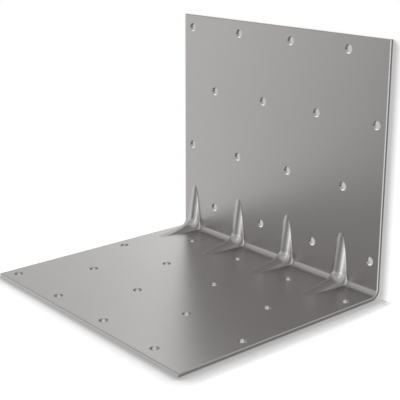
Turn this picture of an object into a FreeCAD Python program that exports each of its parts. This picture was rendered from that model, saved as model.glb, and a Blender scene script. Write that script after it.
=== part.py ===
import FreeCAD, Part
import math
import os

import Sketcher

# Angle bracket: one steel sheet folded to a right angle, punched with staggered holes in both legs and
# stiffened by hollow ribs pressed across the bend from behind.
#
# It is drawn from its outer corner: X runs along the bend with zero at the middle, the base leg lies on
# the XY plane and runs towards -Y, and the upright leg stands with its back on the XZ plane. The finished
# body is then placed with the middle of its footprint at the origin. All sizes are millimetres.

# Driving sizes: name, value, meaning
SIZES = [
    ("width", 230, "length of the bend, from side to side"),
    ("upright_leg", 200, "height of the upright leg, over the outside"),
    ("base_leg", 200, "depth of the base leg, over the outside"),
    ("sheet_thickness", 3, "thickness of the sheet"),
    ("bend_radius", 5, "inner radius of the fold"),
    ("edge_break", 0.6, "chamfer along both rims of the cut outline"),
    ("rib_side_margin", 13.7, "side edge to the middle of the first rib"),
    ("rib_step", 59.3, "distance between ribs, along the bend"),
    ("rib_radius", 7.5, "radius of the round crest of a rib"),
    ("rib_reach", 45, "outer face of one leg to the tip of a rib on the other"),
    ("rib_slope", 9, "angle between a crest and the leg that it runs out on, in degrees"),
    ("rib_knee_radius", 7, "inner radius of the crest where it turns the corner"),
    ("hole_diameter", 7, "diameter of every hole"),
    ("hole_side_margin", 11, "side edge to the first column of holes"),
    ("hole_step", 30, "distance between columns of holes, along the bend"),
    ("hole_row_step", 53.3, "distance between rows of holes, along a leg"),
    ("hole_end_margin", 11, "free edge of a leg to its first row of holes"),
]

# Expressions that several features share
SLOPE = "(sizes.rib_slope * 1 deg)"
FIRST_RIB = "(sizes.rib_side_margin - sizes.width / 2)"
RIB_COUNT = "floor((sizes.width - 2 * sizes.rib_side_margin) / sizes.rib_step) + 1"
# Stock behind the outer faces, deep enough for the roots of the ribs
STOCK = "(2 * sizes.rib_reach)"
# The line along the middle of a rib, at its ends: distance along the leg, and depth behind its outer face
RUN_OUT = f"(sizes.rib_reach + sizes.sheet_thickness / tan({SLOPE}))"
RUN_DEPTH = f"(sizes.rib_radius / cos({SLOPE}))"
# That line at the corner: where its straight runs would meet, and the arc that joins them
CORNER = f"(({RUN_OUT} * tan({SLOPE}) - {RUN_DEPTH}) / (1 + tan({SLOPE})))"
KNEE_RADIUS = "(sizes.rib_knee_radius + sizes.rib_radius)"
KNEE_CENTRE = f"({CORNER} + {KNEE_RADIUS} / (cos({SLOPE}) + sin({SLOPE})))"
# How far the crest lies from both outer faces where its straight runs would meet
CREST_CORNER = f"((sizes.sheet_thickness + sizes.rib_reach * tan({SLOPE})) / (1 + tan({SLOPE})))"

# Legs: length, plane that its back lies on, axis along it, and which way it runs on that axis
LEGS = {
    "upright": ("sizes.upright_leg", "XZ_Plane", "Z_Axis", 1),
    "base": ("sizes.base_leg", "XY_Plane", "Y_Axis", -1),
}

# Points of a sketch line or arc, and the origin of a sketch
START = 1
END = 2
CENTRE = 3
ORIGIN = (-1, 1)
# Two places nearer than this are the same
NEAR = 0.001

doc = FreeCAD.newDocument("angle_bracket")
sheet = doc.addObject("Spreadsheet::Sheet", "sizes")
for row, (name, value, meaning) in enumerate(SIZES, start=1):
    sheet.set(f"A{row}", name)
    sheet.set(f"B{row}", str(value))
    sheet.setAlias(f"B{row}", name)
    sheet.set(f"C{row}", meaning)
doc.recompute()


def number(expression):
    """What an expression of the driving sizes comes to, in millimetres or degrees."""
    result = sheet.evalExpression(expression)
    return float(getattr(result, "Value", result))


def datum(body, role):
    """One of the planes or axes of a body's own origin."""
    return next(feature for feature in body.Origin.OriginFeatures if feature.Role == role)


def new_sketch(body, name, role, **offsets):
    """A sketch on one of the body's planes, moved by expressions for x, y and z in that plane's axes."""
    sketch = body.newObject("Sketcher::SketchObject", name)
    sketch.AttachmentSupport = (datum(body, role), [""])
    sketch.MapMode = "FlatFace"
    for axis, expression in offsets.items():
        sketch.setExpression(f"AttachmentOffset.Base.{axis}", expression)
    return sketch


def line(sketch, start, end):
    """A straight line of a sketch between two points."""
    segment = Part.LineSegment(FreeCAD.Vector(*start, 0), FreeCAD.Vector(*end, 0))
    return sketch.addGeometry(segment, False)


def arc(sketch, centre, radius, start_angle, end_angle):
    """A round arc of a sketch, with its angles in degrees."""
    circle = Part.Circle(FreeCAD.Vector(*centre, 0), FreeCAD.Vector(0, 0, 1), radius)
    turn = Part.ArcOfCircle(circle, math.radians(start_angle), math.radians(end_angle))
    return sketch.addGeometry(turn, False)


def relate(sketch, kind, *points):
    """A constraint of a sketch that has no size, such as two lines that meet."""
    sketch.addConstraint(Sketcher.Constraint(kind, *points))


def dimension(sketch, name, expression, kind, *points):
    """A named size of a sketch, driven by an expression."""
    amount = number(expression)
    if kind == "Angle":
        amount = math.radians(amount)
    index = sketch.addConstraint(Sketcher.Constraint(kind, *points, amount))
    sketch.renameConstraint(index, name)
    sketch.setExpression(f"Constraints.{name}", expression)


def fold_profile(body, depth, overrun):
    """Section of a folded block whose face lies the given depth behind the inner face of the sheet.

    The block ends where the legs end, or past them by the overrun, and is filled with stock behind.
    """
    face = f"(sizes.sheet_thickness - {depth})"
    radius = f"(sizes.bend_radius + {depth})"
    rear = f"({STOCK} + {overrun})"
    y_face = -number(face)
    y_bend = -number(f"{face} + {radius}")
    y_rear = number(rear)
    y_nose = -number(f"sizes.base_leg + {overrun}")
    z_top = number(f"sizes.upright_leg + {overrun}")

    sketch = new_sketch(body, f"{body.Name}_section", "YZ_Plane")
    back = line(sketch, (y_rear, -y_rear), (y_rear, z_top))
    crown = line(sketch, (y_rear, z_top), (y_face, z_top))
    upright = line(sketch, (y_face, z_top), (y_face, -y_bend))
    fold = arc(sketch, (y_bend, -y_bend), number(radius), -90, 0)
    base = line(sketch, (y_bend, -y_face), (y_nose, -y_face))
    nose = line(sketch, (y_nose, -y_face), (y_nose, -y_rear))
    underside = line(sketch, (y_nose, -y_rear), (y_rear, -y_rear))

    corners = ((back, crown), (crown, upright), (base, nose), (nose, underside), (underside, back))
    for first, second in corners:
        relate(sketch, "Coincident", first, END, second, START)
    relate(sketch, "Tangent", upright, END, fold, END)
    relate(sketch, "Tangent", fold, START, base, START)
    for standing in (back, upright, nose):
        relate(sketch, "Vertical", standing)
    for level in (crown, base, underside):
        relate(sketch, "Horizontal", level)
    dimension(sketch, "rear_y", rear, "DistanceX", *ORIGIN, back, START)
    dimension(sketch, "rear_z", rear, "DistanceY", back, START, *ORIGIN)
    dimension(sketch, "upright_wall", f"{rear} + {face}", "DistanceX", upright, START, back, START)
    dimension(sketch, "base_wall", f"{rear} + {face}", "DistanceY", back, START, base, END)
    dimension(sketch, "fold_radius", radius, "Radius", fold)
    dimension(sketch, "height", f"{rear} + sizes.upright_leg + {overrun}",
              "DistanceY", back, START, back, END)
    dimension(sketch, "length", f"{rear} + sizes.base_leg + {overrun}",
              "DistanceX", underside, START, underside, END)
    return sketch


def rib_path(body):
    """The line along the middle of the first rib: two straight runs that slope out of the legs, joined
    by an arc round the corner."""
    run_out = number(RUN_OUT)
    run_depth = number(RUN_DEPTH)
    radius = number(KNEE_RADIUS)
    centre = number(KNEE_CENTRE)
    slope = number(SLOPE)
    touch_near = centre - radius * math.cos(math.radians(slope))
    touch_far = centre - radius * math.sin(math.radians(slope))

    sketch = new_sketch(body, f"{body.Name}_rib_path", "YZ_Plane", z=FIRST_RIB)
    upper = line(sketch, (-touch_near, touch_far), (run_depth, run_out))
    knee = arc(sketch, (-centre, centre), radius, slope - 90, -slope)
    lower = line(sketch, (-run_out, -run_depth), (-touch_far, touch_near))

    relate(sketch, "Tangent", upper, START, knee, END)
    relate(sketch, "Tangent", lower, END, knee, START)
    dimension(sketch, "upper_depth", RUN_DEPTH, "DistanceX", *ORIGIN, upper, END)
    dimension(sketch, "upper_reach", RUN_OUT, "DistanceY", *ORIGIN, upper, END)
    dimension(sketch, "lower_reach", RUN_OUT, "DistanceX", lower, START, *ORIGIN)
    dimension(sketch, "lower_depth", RUN_DEPTH, "DistanceY", lower, START, *ORIGIN)
    dimension(sketch, "upper_angle", f"90 deg - {SLOPE}", "Angle", upper)
    dimension(sketch, "lower_angle", SLOPE, "Angle", lower)
    dimension(sketch, "knee_radius", KNEE_RADIUS, "Radius", knee)
    return sketch


def rib_profile(body, depth):
    """Section across the upper end of the first rib: a round crest with parallel flanks behind it."""
    crest_radius = f"(sizes.rib_radius - {depth})"
    radius = number(crest_radius)
    flank = number(CREST_CORNER)

    sketch = new_sketch(body, f"{body.Name}_rib_section", "XY_Plane")
    tilt = FreeCAD.Rotation(FreeCAD.Vector(-1, 0, 0), number(SLOPE))
    sketch.AttachmentOffset = FreeCAD.Placement(FreeCAD.Vector(), tilt)
    sketch.setExpression("AttachmentOffset.Base.x", FIRST_RIB)
    sketch.setExpression("AttachmentOffset.Base.y", RUN_DEPTH)
    sketch.setExpression("AttachmentOffset.Base.z", RUN_OUT)
    sketch.setExpression("AttachmentOffset.Rotation.Angle", SLOPE)
    crest = arc(sketch, (0, 0), radius, 180, 360)
    right = line(sketch, (radius, 0), (radius, flank))
    root = line(sketch, (radius, flank), (-radius, flank))
    left = line(sketch, (-radius, flank), (-radius, 0))

    relate(sketch, "Coincident", crest, CENTRE, *ORIGIN)
    relate(sketch, "Tangent", crest, END, right, START)
    relate(sketch, "Coincident", right, END, root, START)
    relate(sketch, "Coincident", root, END, left, START)
    relate(sketch, "Tangent", left, END, crest, START)
    relate(sketch, "Horizontal", root)
    relate(sketch, "Vertical", right)
    relate(sketch, "Vertical", left)
    dimension(sketch, "crest_radius", crest_radius, "Radius", crest)
    dimension(sketch, "flank_depth", CREST_CORNER, "DistanceY", right, START, right, END)
    return sketch


def pressed_form(name, depth, overrun):
    """A block whose face is one side of the pressed sheet, the given depth behind the inner face."""
    body = doc.addObject("PartDesign::Body", name)
    block = body.newObject("PartDesign::Pad", f"{name}_block")
    block.Profile = fold_profile(body, depth, overrun)
    block.SideType = "Symmetric"
    block.setExpression("Length", f"sizes.width + 2 * {overrun}")
    doc.recompute()

    rib = body.newObject("PartDesign::AdditivePipe", f"{name}_rib")
    path = rib_path(body)
    rib.Profile = rib_profile(body, depth)
    doc.recompute()
    rib.Spine = (path, [f"Edge{index}" for index in range(1, len(path.Shape.Edges) + 1)])
    doc.recompute()

    ribs = body.newObject("PartDesign::LinearPattern", f"{name}_ribs")
    ribs.Originals = [rib]
    ribs.Direction = (datum(body, "X_Axis"), [""])
    ribs.Mode = "Spacing"
    ribs.setExpression("Offset", "sizes.rib_step")
    ribs.setExpression("Occurrences", RIB_COUNT)
    body.Tip = ribs
    doc.recompute()
    return body


def hole_field(body, leg, between_ribs):
    """Half of the holes of a leg, cut right through: those past the ribs' tips, or those between the ribs.

    Both halves start next to the free edge and the left side, and have every second row and every second
    column, so that together they stand in staggered rows.
    """
    length, plane, axis, way = LEGS[leg]
    shift = 1 if between_ribs else 0
    column = f"(sizes.hole_side_margin + {shift} * sizes.hole_step)"
    row = f"({length} - sizes.hole_end_margin - {shift} * sizes.hole_row_step)"
    # Holes keep clear of the fold, or of the ribs' tips, by a diameter
    limit = "(sizes.sheet_thickness + sizes.bend_radius)" if between_ribs else "sizes.rib_reach"
    name = f"{leg}_{'between_ribs' if between_ribs else 'past_ribs'}"

    sketch = new_sketch(body, f"{name}_hole", plane, x=f"{column} - sizes.width / 2", y=f"{way} * {row}")
    radius = number("sizes.hole_diameter / 2")
    circle = Part.Circle(FreeCAD.Vector(), FreeCAD.Vector(0, 0, 1), radius)
    rim = sketch.addGeometry(circle, False)
    relate(sketch, "Coincident", rim, CENTRE, *ORIGIN)
    dimension(sketch, "bore", "sizes.hole_diameter", "Diameter", rim)
    doc.recompute()

    seed = body.newObject("PartDesign::Pocket", f"{name}_seed")
    seed.Profile = sketch
    seed.SideType = "Symmetric"
    seed.Type = "ThroughAll"
    body.Tip = seed
    doc.recompute()

    patterns = (
        ("columns", "X_Axis", False, "sizes.hole_step", f"sizes.width - {column}"),
        ("rows", axis, way > 0, "sizes.hole_row_step", f"{row} - {limit}"),
    )
    transformations = []
    for pattern_name, direction, reversed_way, step, room in patterns:
        pattern = doc.addObject("PartDesign::LinearPattern", f"{name}_{pattern_name}")
        pattern.Direction = (datum(body, direction), [""])
        pattern.Reversed = reversed_way
        pattern.Mode = "Spacing"
        pattern.setExpression("Offset", f"2 * {step}")
        pattern.setExpression("Occurrences", f"floor(({room} - sizes.hole_diameter) / (2 * {step})) + 1")
        transformations.append(pattern)
    field = body.newObject("PartDesign::MultiTransform", f"{name}_field")
    field.Originals = [seed]
    field.Transformations = transformations
    body.Tip = field
    doc.recompute()
    return field


def outline_rims(shape):
    """Names of the edges along the cut outline of the sheet, on its inner face and on its back."""
    side = number("sizes.width / 2")
    top = number("sizes.upright_leg")
    nose = -number("sizes.base_leg")

    def is_cut(face):
        box = face.BoundBox
        at_side = box.XLength < NEAR and abs(abs(box.XMin) - side) < NEAR
        at_top = box.ZLength < NEAR and abs(box.ZMin - top) < NEAR
        at_nose = box.YLength < NEAR and abs(box.YMin - nose) < NEAR
        return at_side or at_top or at_nose

    names = []
    for index, edge in enumerate(shape.Edges, start=1):
        cut_faces = [face for face in shape.ancestorsOfType(edge, Part.Face) if is_cut(face)]
        if len(cut_faces) == 1:
            names.append(f"Edge{index}")
    return names


back_form = pressed_form("back_form", depth="sizes.sheet_thickness", overrun="sizes.rib_reach")
bracket = pressed_form("angle_bracket", depth="0", overrun="0")

# The sheet is what lies between its inner face and its back
pressing = bracket.newObject("PartDesign::Boolean", "sheet_between")
pressing.Type = "Cut"
pressing.addObject(back_form)
bracket.Tip = pressing
doc.recompute()

for leg in LEGS:
    for between_ribs in (False, True):
        punched = hole_field(bracket, leg, between_ribs)

chamfer = bracket.newObject("PartDesign::Chamfer", "outline_chamfer")
chamfer.Base = (punched, outline_rims(punched.Shape))
chamfer.setExpression("Size", "sizes.edge_break")
bracket.Tip = chamfer
bracket.Label = "angle_bracket"
bracket.setExpression("Placement.Base.y", "sizes.base_leg / 2")
doc.recompute()

for feature in doc.Objects:
    if {"Invalid", "Error"} & set(feature.State):
        raise RuntimeError(f"{feature.Label} failed: {feature.State}")
if bracket.Shape.isNull() or not bracket.Shape.isValid() or len(bracket.Shape.Solids) != 1:
    raise RuntimeError("the bracket is not one valid solid")

os.makedirs("parts", exist_ok=True)
bracket.Shape.exportStep(f"parts/{bracket.Label}.step")
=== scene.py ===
import math
from collections import namedtuple

import bmesh
import bpy
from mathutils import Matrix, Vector
from mathutils.geometry import delaunay_2d_cdt


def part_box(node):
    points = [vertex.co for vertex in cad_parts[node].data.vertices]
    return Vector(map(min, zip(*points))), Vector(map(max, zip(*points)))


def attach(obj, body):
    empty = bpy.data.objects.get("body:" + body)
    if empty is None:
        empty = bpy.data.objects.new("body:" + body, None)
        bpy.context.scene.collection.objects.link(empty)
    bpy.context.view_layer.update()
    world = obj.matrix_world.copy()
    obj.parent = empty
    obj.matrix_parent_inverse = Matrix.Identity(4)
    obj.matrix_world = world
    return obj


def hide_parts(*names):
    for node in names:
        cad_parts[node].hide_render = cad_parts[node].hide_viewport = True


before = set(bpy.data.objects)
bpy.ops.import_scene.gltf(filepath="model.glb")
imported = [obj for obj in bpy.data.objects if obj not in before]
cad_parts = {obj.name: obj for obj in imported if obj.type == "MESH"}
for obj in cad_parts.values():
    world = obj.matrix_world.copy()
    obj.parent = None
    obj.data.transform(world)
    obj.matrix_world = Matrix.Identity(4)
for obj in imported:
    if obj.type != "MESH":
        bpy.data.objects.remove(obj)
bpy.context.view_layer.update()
scene = bpy.context.scene

# Outer sizes of the bracket, from the frame, in metres
LOW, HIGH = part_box("angle_bracket")
LEG = HIGH.z - LOW.z

# Sheet: thickness, inner radius of the fold, chamfer along the rims of its cut outline, and how far from
# the outer faces the bend starts
SHEET = 0.003
BEND_RADIUS = 0.005
EDGE_BREAK = 0.0006
BEND_START = SHEET + BEND_RADIUS

# Ribs pressed across the bend: radius of the crest and of the shoulders where they run into the sheet, how
# far out and how steeply they run along a leg, the round of their knee, and their places along the bend
RIB_RADIUS = 0.0075
RIB_SHOULDER = 0.002
RIB_REACH = 0.045
RIB_SLOPE = math.radians(9)
RIB_KNEE_RADIUS = 0.007
RIB_SIDE_MARGIN = 0.0137
RIB_STEP = 0.0593
RIB_COUNT = 4
RIB_COLUMNS = [LOW.x + RIB_SIDE_MARGIN + RIB_STEP * index for index in range(RIB_COUNT)]

# Punched holes: staggered, in every second row and column of a raster, counted from the left side and from
# the free edge of a leg
HOLE_RADIUS = 0.0035
HOLE_SIDE_MARGIN = 0.011
HOLE_STEP = 0.03
HOLE_END_MARGIN = 0.011
HOLE_ROW_STEP = 0.0533
HOLES_ACROSS = 4
HOLES_ALONG = 2

# Fineness of the mesh: steps along a rib, round half of the bend, over half of a crest, over a shoulder
# and round a hole
RUN_STEPS = 40
BEND_STEPS = 8
CREST_STEPS = 12
SHOULDER_STEPS = 8
HOLE_STEPS = 48
# Near the bend, the lines up to a rib's crest lean towards a point that is this far from both outer faces
FAN_POINT = 0.03
# Filling of the flats: two places nearer than this are the same, and triangles lie inside outlines alone
NEAR = 1e-9
INSIDE_ALONE = 1

# Camera, solved from the photograph: where it stands in the part's frame, how it looks down and round,
# its focal length in pixels of a 400 pixel frame, and the point of that frame that it aims at
FRAME_SIDE = 400
CAMERA_PLACE = (0.54233, -0.44885, 0.28845)
CAMERA_AZIMUTH = math.radians(49.827)
CAMERA_ELEVATION = math.radians(15.562)
FOCAL_PIXELS = 950.7
AIM_PIXEL = (192.78, 175.36)
SENSOR_WIDTH = 36

# Steel: reflected colour with its faint cloudiness, roughness with its grain, and how deep the grain is
STEEL_DARK = (0.410, 0.398, 0.392, 1)
STEEL_LIGHT = (0.430, 0.418, 0.412, 1)
CLOUD_SCALE = 25
CLOUD_STRETCH = (1, 1, 1)
STEEL_ROUGHNESS = 0.32
GRAIN_ROUGHNESS = 0.02
GRAIN_SCALE = 900
GRAIN_STRETCH = (0.06, 1, 1)
GRAIN_DEPTH = 0.000001
NOISE_DETAIL = 3

# Floor: its size, its own white, and the faint glow that lifts it to the white of the backdrop
FLOOR_RADIUS = 3.0
FLOOR_SIDES = 96
FLOOR_WHITE = 0.8
FLOOR_LIFT = 0.37

# White backdrop: how close behind the upright it stands, and its height
BACKDROP_GAP = 0.001
BACKDROP_HEIGHT = 2.0

# Soft shadow on the floor and the backdrop, close to the bracket: where the light comes from, how far
# the shadow reaches, the open share of that light at which it is deepest, and how light it is there
FLOOR_SHADOW = ((-0.42, 0, 0.9), 0.0148, 0.891, 0.48)
BACKDROP_SHADOW = ((-0.35, -0.1, 0.93), 0.0079, 0.8, 0.53)

# Studio: a round tent of even white light, and soft zones of it that are brighter or darker. A zone lies
# at a turn from -X towards -Y and a rise over the horizon, is full within its first angle and fades out
# by its second one, all in degrees. The last value is what it adds to the light of the tent
STUDIO_RADIUS = 20
STUDIO_STEPS = 4
TENT_LIGHT = 1.16
LEAST_LIGHT = 0.02
Zone = namedtuple("Zone", "name turn rise full faded light")
ZONES = [
    Zone("dim ceiling", 0, 90, 60, 85, -0.33),
    Zone("glow behind the upright", -60, 26, 12, 24.5, 0.92),
    Zone("dim wall on the left", -14, 20, 8, 22, -0.1),
    Zone("lamp high behind the upright", -62, 44, 6, 16, 1.6),
    Zone("dim floor ahead", 72, -14, 11, 31, -0.84),
    Zone("dim ceiling ahead", 80, 22, 8, 46, -0.12),
    Zone("dim ceiling on the left", 14, 40, 10, 34, -0.16),
    Zone("top light above the camera", 132, 36, 3, 10, 2.4),
    Zone("key light by the camera", 127, 2, 8, 16, 2.0),
    Zone("low light by the camera", 141, -26, 6, 15, 0.6),
    Zone("dim corner on the right", 225, -15, 14, 40, -0.88),
    Zone("dark floor behind the bracket", -45, -62, 36, 52, -0.95),
]

# A point along the cut outline: its two ends on the inner face and on the back, the inner face's normal
# there, and the ways out of the sheet before and after it
Post = namedtuple("Post", "near far normal before after")


def link(obj):
    """Puts a new object into the scene."""
    scene.collection.objects.link(obj)
    return obj


def new_material(name):
    """A new material with its nodes and links."""
    material = bpy.data.materials.new(name)
    material.use_nodes = True
    return material, material.node_tree.nodes, material.node_tree.links


def on_circle(step, steps):
    """Cosine and sine of a step round a full circle."""
    angle = 2 * math.pi * step / steps
    return math.cos(angle), math.sin(angle)


def kept(vector):
    """A place or direction of the upright, as it is."""
    return vector


def mirrored(vector):
    """A place or direction of one leg carried over to the other leg."""
    return Vector((vector.x, vector.z, vector.y))


def stations():
    """Points of the inner face with its normals, from the ribs' tips on the upright to those on the base.

    Here and below a vector holds x along the bend, depth from the back of the upright, and height.
    """
    upper = []
    for step in range(RUN_STEPS):
        height = RIB_REACH + (BEND_START - RIB_REACH) * step / RUN_STEPS
        upper.append((Vector((0, SHEET, height)), Vector((0, 1, 0))))
    for step in range(BEND_STEPS + 1):
        angle = math.pi / 4 * step / BEND_STEPS
        normal = Vector((0, math.cos(angle), math.sin(angle)))
        upper.append((Vector((0, BEND_START, BEND_START)) - BEND_RADIUS * normal, normal))
    lower = [(mirrored(place), mirrored(normal)) for place, normal in reversed(upper[:-1])]
    return upper + lower


def crest_above(place):
    """Way from a point of the upright's inner face to the crest of a rib: direction and distance, and
    how much longer that way is than the rib's height square to its crest."""
    way = Vector((0, 1, 0))
    if place.z < FAN_POINT:
        way = (Vector((0, FAN_POINT, FAN_POINT)) - place).normalized()
    rise = math.tan(RIB_SLOPE)
    distance = (SHEET + (RIB_REACH - place.z) * rise - place.y) / (way.y + way.z * rise)
    crest_normal = Vector((0, math.cos(RIB_SLOPE), math.sin(RIB_SLOPE)))

    corner = (SHEET + RIB_REACH * rise) / (1 + rise)
    centre = corner + RIB_KNEE_RADIUS / (math.cos(RIB_SLOPE) + math.sin(RIB_SLOPE))
    if place.z + distance * way.z < centre - RIB_KNEE_RADIUS * math.sin(RIB_SLOPE):
        from_centre = place - Vector((0, centre, centre))
        along = way.dot(from_centre)
        distance = -along - math.sqrt(along ** 2 - from_centre.length_squared + RIB_KNEE_RADIUS ** 2)
        crest_normal = -(from_centre + distance * way) / RIB_KNEE_RADIUS
    return way, distance, 1 / way.dot(crest_normal)


def rib_section(height):
    """Half of a section across a rib: offsets from its middle with their heights, from crest to foot."""
    tilt = math.acos(min(1 - height / (RIB_RADIUS + RIB_SHOULDER), 1))
    foot = (RIB_RADIUS + RIB_SHOULDER) * math.sin(tilt)
    half = []
    for step in range(CREST_STEPS + 1):
        angle = tilt * step / CREST_STEPS
        half.append((RIB_RADIUS * math.sin(angle), height - RIB_RADIUS * (1 - math.cos(angle))))
    for step in range(1, SHOULDER_STEPS + 1):
        angle = tilt * (1 - step / SHOULDER_STEPS)
        half.append((foot - RIB_SHOULDER * math.sin(angle), RIB_SHOULDER * (1 - math.cos(angle))))
    return half


def rib_rows():
    """Rows of points across the inner face of one rib, for each station, with x from its middle."""
    upper = []
    for place, _ in stations()[:RUN_STEPS + BEND_STEPS + 1]:
        way, distance, stretch = crest_above(place)
        right = [place + stretch * height * way + Vector((offset, 0, 0))
                 for offset, height in rib_section(distance / stretch)]
        left = [Vector((-point.x, point.y, point.z)) for point in reversed(right[1:])]
        upper.append(left + right)
    lower = [[mirrored(point) for point in row] for row in reversed(upper[:-1])]
    return upper + lower


def rib_normals(rows):
    """Normals of the inner face at the points of a rib: those of the flat sheet along the rib's rim."""
    last_row = len(rows) - 1
    last_point = len(rows[0]) - 1
    normals = []
    for row, (_, flat_normal) in enumerate(stations()):
        line = []
        for point in range(last_point + 1):
            along = rows[min(row + 1, last_row)][point] - rows[max(row - 1, 0)][point]
            across = rows[row][min(point + 1, last_point)] - rows[row][max(point - 1, 0)]
            normal = across.cross(along)
            on_rim = row in (0, last_row) or point in (0, last_point)
            line.append(flat_normal if on_rim else normal.normalized())
        normals.append(line)
    return normals


class SheetMesh:
    """The folded sheet as points, faces and a normal for each corner of each face."""

    def __init__(self):
        self.points = []
        self.faces = []
        self.normals = []

    def point(self, place):
        """A new point, from its x, depth and height."""
        self.points.append(Vector((place.x, HIGH.y - place.y, place.z)))
        return len(self.points) - 1

    def place(self, index):
        """The x, depth and height of a point."""
        point = self.points[index]
        return Vector((point.x, HIGH.y - point.y, point.z))

    def face(self, corners, normals):
        """A new face, listed so that it looks the way that its corners' normals point."""
        normals = [Vector((normal.x, -normal.y, normal.z)) for normal in normals]
        first, second, third = (self.points[corner] for corner in corners[:3])
        if (second - first).cross(third - first).dot(sum(normals, Vector())) < 0:
            corners = corners[::-1]
            normals = normals[::-1]
        self.faces.append(corners)
        self.normals.append(normals)

    def object(self, name):
        """The mesh as an object of the scene, shaded by its corners' normals."""
        mesh = bpy.data.meshes.new(name)
        mesh.from_pydata(self.points, [], self.faces)
        mesh.polygons.foreach_set("use_smooth", [True] * len(mesh.polygons))
        mesh.normals_split_custom_set([normal for normals in self.normals for normal in normals])
        return link(bpy.data.objects.new(name, mesh))


class Skin:
    """One side of the sheet: its inner face, or its back, one sheet thickness behind it."""

    def __init__(self, mesh, depth, facing):
        self.mesh = mesh
        self.depth = depth
        self.facing = facing
        self.stations = stations()
        self.bend = range(RUN_STEPS, len(self.stations) - RUN_STEPS)
        self.ribs = self.make_ribs()
        self.sides = [self.make_side(LOW.x + EDGE_BREAK), self.make_side(HIGH.x - EDGE_BREAK)]
        self.make_bend()
        self.holes = []
        self.corners = []
        self.make_leg(range(RUN_STEPS, -1, -1), 0, kept)
        self.make_leg(range(len(self.stations) - 1 - RUN_STEPS, len(self.stations)), -1, mirrored)

    def make_ribs(self):
        """All ribs, as grids of point numbers. The points of a rib's tip are one point."""
        rows = rib_rows()
        normals = rib_normals(rows)
        tips = (0, len(rows) - 1)
        grids = []
        for column in RIB_COLUMNS:
            grid = []
            for row in range(len(rows)):
                places = [point - self.depth * normal + Vector((column, 0, 0))
                          for point, normal in zip(rows[row], normals[row])]
                if row in tips:
                    grid.append([self.mesh.point(places[0])] * len(places))
                else:
                    grid.append([self.mesh.point(place) for place in places])
            for row in range(len(grid) - 1):
                for point in range(len(grid[row]) - 1):
                    self.rib_face(grid, normals, row, point)
            grids.append(grid)
        return grids

    def rib_face(self, grid, normals, row, point):
        """One face of a rib, with three corners at a tip and four elsewhere."""
        ring = ((row, point), (row, point + 1), (row + 1, point + 1), (row + 1, point))
        corners = {}
        for down, across in ring:
            corners.setdefault(grid[down][across], self.facing * normals[down][across])
        self.mesh.face(list(corners), list(corners.values()))

    def make_side(self, x):
        """Points round the bend at one side of the sheet."""
        points = []
        for index in self.bend:
            place, normal = self.stations[index]
            points.append(self.mesh.point(place - self.depth * normal + Vector((x, 0, 0))))
        return points

    def make_bend(self):
        """The round of the bend, between the ribs and out to both sides."""
        lefts = [self.sides[0]] + [[grid[index][-1] for index in self.bend] for grid in self.ribs]
        rights = [[grid[index][0] for index in self.bend] for grid in self.ribs] + [self.sides[1]]
        normals = [self.facing * self.stations[index][1] for index in self.bend]
        for left, right in zip(lefts, rights):
            for step in range(len(left) - 1):
                corners = [left[step], right[step], right[step + 1], left[step + 1]]
                self.mesh.face(corners, [normals[step]] * 2 + [normals[step + 1]] * 2)

    def make_leg(self, rows, bend_end, turn):
        """The flat of one leg, from the bend round the ribs to the free edge, with its holes.

        The rows are those of a rib from the bend to its tip, and turn carries the upright over to the leg.
        """
        rim = [self.sides[0][bend_end]]
        for grid in self.ribs:
            rim += [grid[row][0] for row in rows]
            rim += [grid[row][-1] for row in reversed(rows[:-1])]
        rim.append(self.sides[1][bend_end])
        face_depth = SHEET - self.depth
        edge = LEG - EDGE_BREAK
        left = self.mesh.point(turn(Vector((LOW.x + EDGE_BREAK, face_depth, edge))))
        right = self.mesh.point(turn(Vector((HIGH.x - EDGE_BREAK, face_depth, edge))))
        self.corners.append((left, right))
        rings = []
        for x, along in hole_places():
            ring = []
            for step in range(HOLE_STEPS):
                across, up = on_circle(step, HOLE_STEPS)
                spot = Vector((x + HOLE_RADIUS * across, face_depth, along + HOLE_RADIUS * up))
                ring.append(self.mesh.point(turn(spot)))
            rings.append(ring)
        self.holes.append(rings)
        self.fill([rim + [right, left]] + rings, turn)

    def fill(self, loops, turn):
        """Triangles of a flat leg within its outline, the first loop, and outside its holes, the others."""
        numbers = [number for loop in loops for number in loop]
        places = [turn(self.mesh.place(number)) for number in numbers]
        spots = [Vector((place.x, place.z)) for place in places]
        rings = []
        for loop in loops:
            start = sum(len(ring) for ring in rings)
            rings.append(list(range(start, start + len(loop))))
        _, _, triangles, sources, _, owners = delaunay_2d_cdt(spots, [], rings, INSIDE_ALONE, NEAR)
        normal = self.facing * turn(Vector((0, 1, 0)))
        for triangle, owner in zip(triangles, owners):
            if owner == [0]:
                corners = [numbers[sources[corner][0]] for corner in triangle]
                self.mesh.face(corners, [normal] * len(corners))


def hole_places():
    """Middles of the holes of a leg: x, and distance from the outside of the other leg."""
    places = []
    for shift in (0, 1):
        for column in range(HOLES_ACROSS):
            for row in range(HOLES_ALONG):
                x = LOW.x + HOLE_SIDE_MARGIN + HOLE_STEP * (2 * column + shift)
                along = LEG - HOLE_END_MARGIN - HOLE_ROW_STEP * (2 * row + shift)
                places.append((x, along))
    return places


def make_hole_walls(mesh, front, back):
    """The walls of all holes, between both sides of the sheet."""
    for turn, front_rings, back_rings in zip((kept, mirrored), front.holes, back.holes):
        for front_ring, back_ring in zip(front_rings, back_rings):
            for step in range(HOLE_STEPS):
                after = (step + 1) % HOLE_STEPS
                corners = [front_ring[step], front_ring[after], back_ring[after], back_ring[step]]
                normals = []
                for corner_step in (step, after, after, step):
                    across, up = on_circle(corner_step, HOLE_STEPS)
                    normals.append(turn(Vector((-across, 0, -up))))
                mesh.face(corners, normals)


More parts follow.
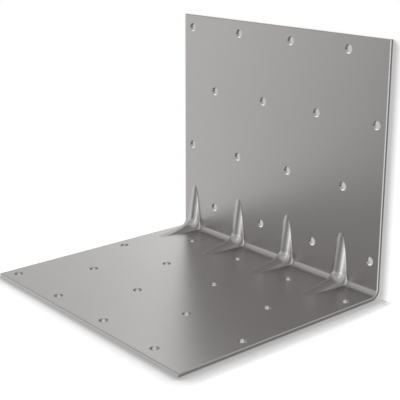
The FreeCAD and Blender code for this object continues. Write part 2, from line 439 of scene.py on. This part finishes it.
def outline(front, back):
    """The posts along the cut outline, from the upright's free edge down the left and up the right side."""
    left, right, free = Vector((-1, 0, 0)), Vector((1, 0, 0)), Vector((0, 0, 1))
    upright_normal = Vector((0, 1, 0))
    base_normal = mirrored(upright_normal)
    (front_top, front_nose), (back_top, back_nose) = front.corners, back.corners
    sides = []
    for side, way in enumerate((left, right)):
        normals = [front.stations[index][1] for index in front.bend]
        sides.append([Post(near, far, normal, way, way)
                      for near, far, normal in zip(front.sides[side], back.sides[side], normals)])
    return [
        Post(front_top[0], back_top[0], upright_normal, free, left),
        *sides[0],
        Post(front_nose[0], back_nose[0], base_normal, left, mirrored(free)),
        Post(front_nose[1], back_nose[1], base_normal, mirrored(free), right),
        *reversed(sides[1]),
        Post(front_top[1], back_top[1], upright_normal, right, free),
    ]


def make_rims(mesh, front, back):
    """The cut edge round the sheet: a chamfer, the edge itself and a chamfer on the back."""
    posts = outline(front, back)
    columns = []
    for post in posts:
        way = post.before if post.before == post.after else post.before + post.after
        upper = mesh.place(post.near) + EDGE_BREAK * (way - post.normal)
        lower = mesh.place(post.far) + EDGE_BREAK * (way + post.normal)
        columns.append([post.near, mesh.point(upper), mesh.point(lower), post.far])
    for index, post in enumerate(posts):
        after = (index + 1) % len(posts)
        for band, lean in enumerate((1, 0, -1)):
            corners = [columns[index][band], columns[after][band],
                       columns[after][band + 1], columns[index][band + 1]]
            normals = [(post.after + lean * posts[end].normal).normalized()
                       for end in (index, after, after, index)]
            mesh.face(corners, normals)


def make_sheet():
    """The whole bracket: the folded and pressed sheet that stands for the solid of the frame."""
    mesh = SheetMesh()
    front = Skin(mesh, depth=0, facing=1)
    back = Skin(mesh, depth=SHEET, facing=-1)
    make_hole_walls(mesh, front, back)
    make_rims(mesh, front, back)
    bracket = mesh.object("bracket_sheet")
    bracket.data.materials.append(steel())
    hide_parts("angle_bracket")
    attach(bracket, "root")


def noise(nodes, links, places, stretch, scale):
    """A noise over the object's own places, each axis times its stretch."""
    mapping = nodes.new("ShaderNodeMapping")
    mapping.inputs["Scale"].default_value = stretch
    links.new(places, mapping.inputs["Vector"])
    texture = nodes.new("ShaderNodeTexNoise")
    texture.inputs["Scale"].default_value = scale
    texture.inputs["Detail"].default_value = NOISE_DETAIL
    links.new(mapping.outputs["Vector"], texture.inputs["Vector"])
    return texture.outputs["Fac"]


def steel():
    """Bare steel sheet: satin and slightly warm, faintly cloudy, with a fine grain along the bend."""
    material, nodes, links = new_material("steel")
    shader = nodes["Principled BSDF"]
    shader.inputs["Metallic"].default_value = 1
    places = nodes.new("ShaderNodeTexCoord").outputs["Object"]

    cloud = noise(nodes, links, places, CLOUD_STRETCH, CLOUD_SCALE)
    colour = nodes.new("ShaderNodeValToRGB")
    colour.color_ramp.elements[0].color = STEEL_DARK
    colour.color_ramp.elements[1].color = STEEL_LIGHT
    links.new(cloud, colour.inputs["Fac"])
    links.new(colour.outputs["Color"], shader.inputs["Base Color"])

    grain = noise(nodes, links, places, GRAIN_STRETCH, GRAIN_SCALE)
    rough = nodes.new("ShaderNodeMapRange")
    rough.inputs["To Min"].default_value = STEEL_ROUGHNESS - GRAIN_ROUGHNESS
    rough.inputs["To Max"].default_value = STEEL_ROUGHNESS + GRAIN_ROUGHNESS
    links.new(grain, rough.inputs["Value"])
    links.new(rough.outputs["Result"], shader.inputs["Roughness"])

    bump = nodes.new("ShaderNodeBump")
    bump.inputs["Distance"].default_value = GRAIN_DEPTH
    links.new(grain, bump.inputs["Height"])
    links.new(bump.outputs["Normal"], shader.inputs["Normal"])
    return material


def make_camera():
    """The camera of the photograph."""
    data = bpy.data.cameras.new("camera")
    data.sensor_width = SENSOR_WIDTH
    data.lens = SENSOR_WIDTH * FOCAL_PIXELS / FRAME_SIDE
    data.shift_x = 0.5 - AIM_PIXEL[0] / FRAME_SIDE
    data.shift_y = AIM_PIXEL[1] / FRAME_SIDE - 0.5
    camera = link(bpy.data.objects.new("camera", data))
    camera.location = CAMERA_PLACE
    camera.rotation_euler = (math.pi / 2 - CAMERA_ELEVATION, 0, CAMERA_AZIMUTH)
    scene.camera = camera


def make_floor():
    """A plain white floor, which the steel doesn't mirror, with a soft shadow where the base meets it."""
    mesh = bpy.data.meshes.new("floor")
    spots = [on_circle(side, FLOOR_SIDES) for side in range(FLOOR_SIDES)]
    rim = [(FLOOR_RADIUS * across, FLOOR_RADIUS * along, 0) for across, along in spots]
    mesh.from_pydata(rim, [], [range(FLOOR_SIDES)])
    mesh.materials.append(floor_white())
    floor = link(bpy.data.objects.new("floor", mesh))
    floor.visible_glossy = False
    floor.visible_shadow = False


def soft_shadow(nodes, links, light, reach, deepest, shade):
    """Shade from 0 to 1 of a plain surface, darker where the bracket close by hides light from one side."""
    side = nodes.new("ShaderNodeCombineXYZ")
    for axis, value in zip("XYZ", light):
        side.inputs[axis].default_value = value
    near = nodes.new("ShaderNodeAmbientOcclusion")
    near.inputs["Distance"].default_value = reach
    links.new(side.outputs["Vector"], near.inputs["Normal"])
    shadow = nodes.new("ShaderNodeMapRange")
    shadow.inputs["From Min"].default_value = deepest
    shadow.inputs["To Min"].default_value = shade
    links.new(near.outputs["AO"], shadow.inputs["Value"])
    return shadow.outputs["Result"]


def floor_white():
    """Matt white with a faint glow of its own, darker close to what stands on it."""
    material, nodes, links = new_material("floor_white")
    shader = nodes["Principled BSDF"]
    shader.inputs["Roughness"].default_value = 1
    shader.inputs["Specular IOR Level"].default_value = 0
    shadow = soft_shadow(nodes, links, *FLOOR_SHADOW)

    white = nodes.new("ShaderNodeMath")
    white.operation = "MULTIPLY"
    white.inputs[1].default_value = FLOOR_WHITE
    links.new(shadow, white.inputs[0])
    links.new(white.outputs["Value"], shader.inputs["Base Color"])

    links.new(shadow, shader.inputs["Emission Color"])
    shader.inputs["Emission Strength"].default_value = FLOOR_LIFT
    return material


def make_backdrop():
    """A plain white backdrop behind the upright, which only the camera sees, and only from its front."""
    mesh = bpy.data.meshes.new("backdrop")
    depth = HIGH.y + BACKDROP_GAP
    reach = math.sqrt(FLOOR_RADIUS ** 2 - depth ** 2)
    corners = [(-reach, depth, 0), (reach, depth, 0),
               (reach, depth, BACKDROP_HEIGHT), (-reach, depth, BACKDROP_HEIGHT)]
    mesh.from_pydata(corners, [], [range(len(corners))])
    mesh.materials.append(backdrop_white())
    backdrop = link(bpy.data.objects.new("backdrop", mesh))
    backdrop.visible_diffuse = False
    backdrop.visible_glossy = False
    backdrop.visible_transmission = False
    backdrop.visible_shadow = False


def backdrop_white():
    """White to its front, with a soft shadow close to the bracket, and nothing to its back."""
    material, nodes, links = new_material("backdrop_white")
    nodes.remove(nodes["Principled BSDF"])
    white = nodes.new("ShaderNodeEmission")
    shadow = soft_shadow(nodes, links, *BACKDROP_SHADOW)
    links.new(shadow, white.inputs["Color"])
    clear = nodes.new("ShaderNodeBsdfTransparent")
    sides = nodes.new("ShaderNodeMixShader")
    links.new(nodes.new("ShaderNodeNewGeometry").outputs["Backfacing"], sides.inputs["Fac"])
    links.new(white.outputs["Emission"], sides.inputs[1])
    links.new(clear.outputs["BSDF"], sides.inputs[2])
    links.new(sides.outputs["Shader"], nodes["Material Output"].inputs["Surface"])
    return material


def make_studio():
    """A wide round tent of light about the bracket, which shows in the steel but not to the camera."""
    mesh = bpy.data.meshes.new("studio")
    shell = bmesh.new()
    bmesh.ops.create_icosphere(shell, subdivisions=STUDIO_STEPS, radius=STUDIO_RADIUS)
    shell.to_mesh(mesh)
    shell.free()
    mesh.materials.append(studio_light())
    studio = link(bpy.data.objects.new("studio", mesh))
    studio.visible_camera = False


def zone_light(nodes, links, direction, zone):
    """What one zone adds to the light of the tent in a direction."""
    turn, rise = math.radians(zone.turn), math.radians(zone.rise)
    near = nodes.new("ShaderNodeVectorMath")
    near.label = zone.name
    near.operation = "DOT_PRODUCT"
    near.inputs[1].default_value = (-math.cos(turn) * math.cos(rise), -math.sin(turn) * math.cos(rise),
                                    math.sin(rise))
    links.new(direction, near.inputs[0])
    fade = nodes.new("ShaderNodeMapRange")
    fade.interpolation_type = "SMOOTHSTEP"
    fade.inputs["From Min"].default_value = math.cos(math.radians(zone.faded))
    fade.inputs["From Max"].default_value = math.cos(math.radians(zone.full))
    fade.inputs["To Max"].default_value = zone.light
    links.new(near.outputs["Value"], fade.inputs["Value"])
    return fade.outputs["Result"]


def studio_light():
    """Even white light with the soft zones."""
    material, nodes, links = new_material("studio_light")
    nodes.remove(nodes["Principled BSDF"])
    direction = nodes.new("ShaderNodeVectorMath")
    direction.operation = "NORMALIZE"
    links.new(nodes.new("ShaderNodeTexCoord").outputs["Object"], direction.inputs[0])

    total = None
    for zone in ZONES:
        add = nodes.new("ShaderNodeMath")
        links.new(zone_light(nodes, links, direction.outputs["Vector"], zone), add.inputs[0])
        if total is None:
            add.inputs[1].default_value = TENT_LIGHT
        else:
            links.new(total, add.inputs[1])
        total = add.outputs["Value"]
    least = nodes.new("ShaderNodeMath")
    least.operation = "MAXIMUM"
    least.inputs[1].default_value = LEAST_LIGHT
    links.new(total, least.inputs[0])

    light = nodes.new("ShaderNodeEmission")
    links.new(least.outputs["Value"], light.inputs["Strength"])
    links.new(light.outputs["Emission"], nodes["Material Output"].inputs["Surface"])
    return material


def make_world():
    """A plain white world outside the studio."""
    world = bpy.data.worlds.new("white")
    world.use_nodes = True
    world.node_tree.nodes["Background"].inputs["Color"].default_value = (1, 1, 1, 1)
    scene.world = world


make_sheet()
make_camera()
make_floor()
make_backdrop()
make_studio()
make_world()
scene.view_settings.view_transform = "Standard"
